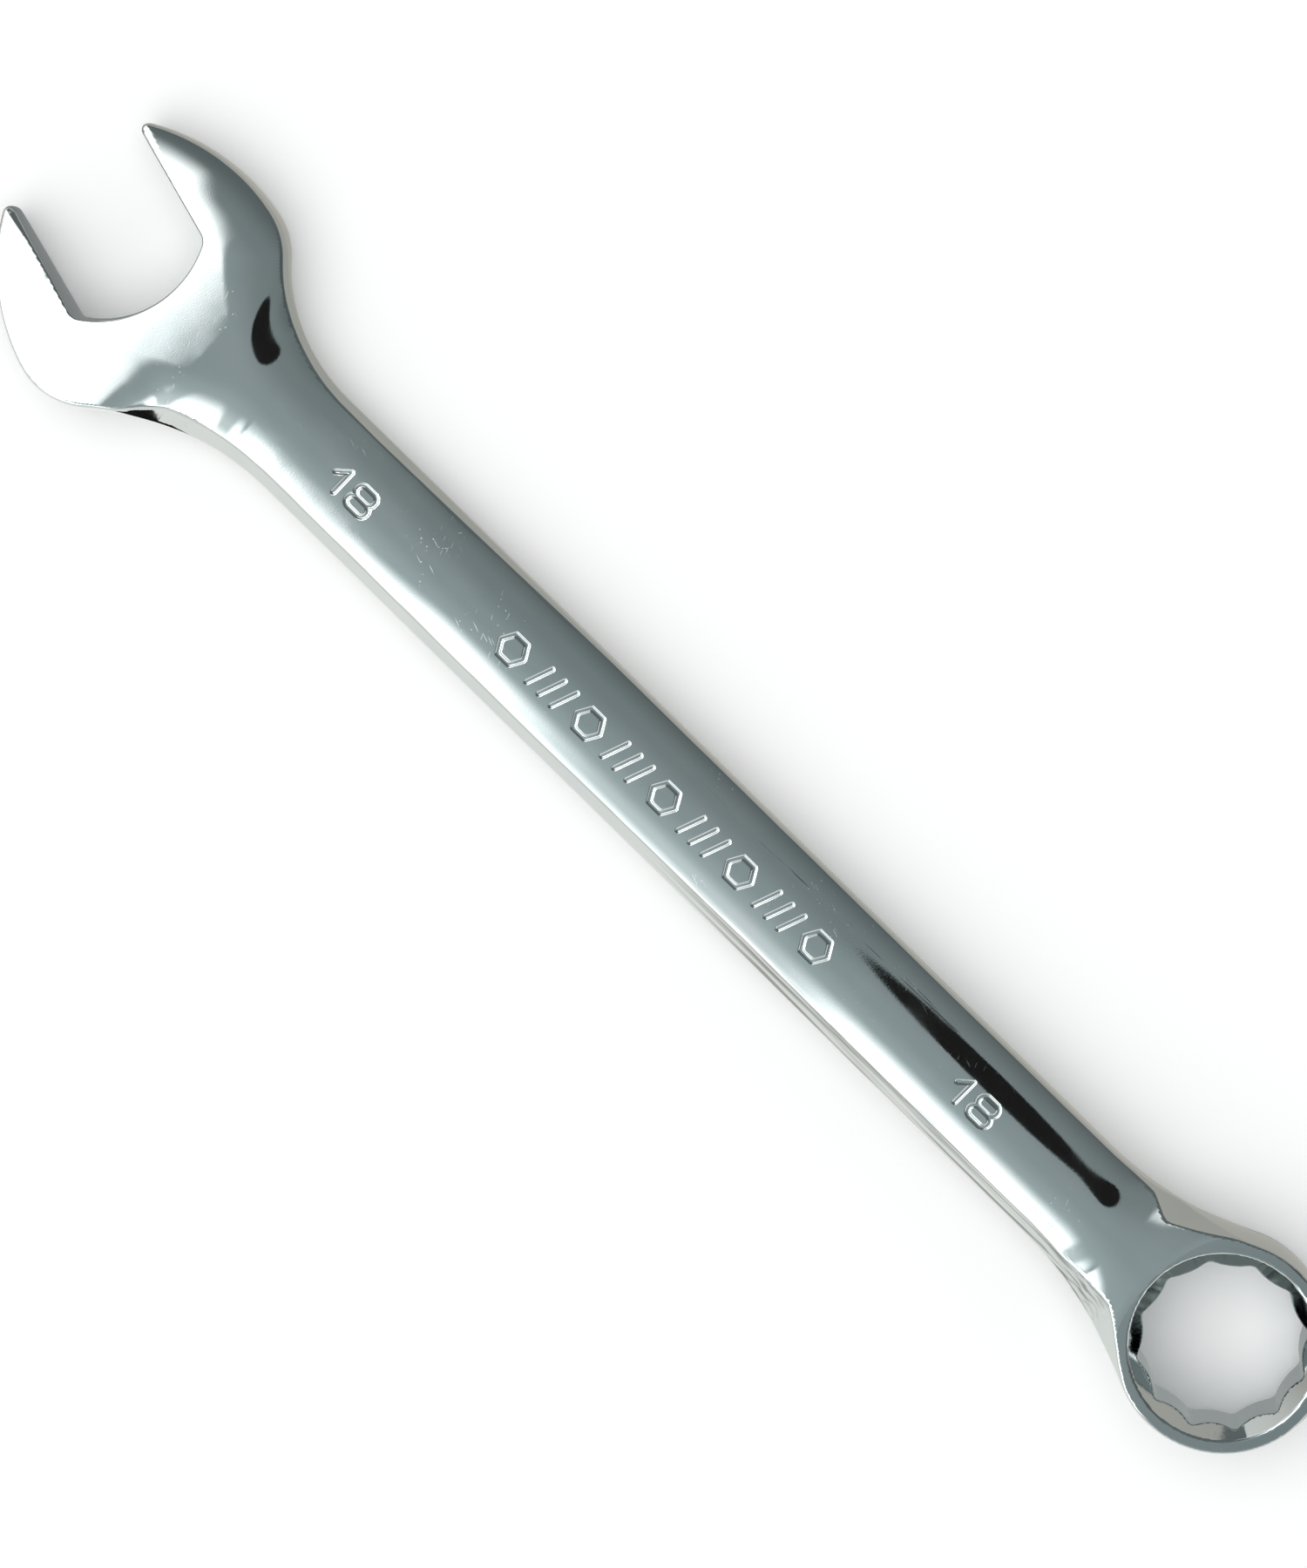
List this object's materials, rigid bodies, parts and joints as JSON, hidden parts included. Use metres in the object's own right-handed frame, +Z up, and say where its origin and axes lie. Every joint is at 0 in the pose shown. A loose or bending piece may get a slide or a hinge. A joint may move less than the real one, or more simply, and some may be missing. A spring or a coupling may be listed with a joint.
{
  "type": "combination wrench",
  "caption": "Chrome-plated forged combination wrench: an angled open-end head and a same-size ring head at either end of a straight, slightly crowned shank.",
  "frame": {"origin": "middle of the length and width of the wrench, on the surface that it lies on", "axes": "+X along the shank from the open end to the ring end, +Z up out of the faces, +Y across the shank towards the jaw that stands back"},
  "size_m": [0.2179, 0.0368, 0.0115],
  "materials": {
    "chrome": "polished chrome plate with fine scratches and small pits"
  },
  "bodies": {
    "root": {"open_end": "chrome", "shank": "chrome", "ring_end": "chrome"}
  },
  "joints": []
}
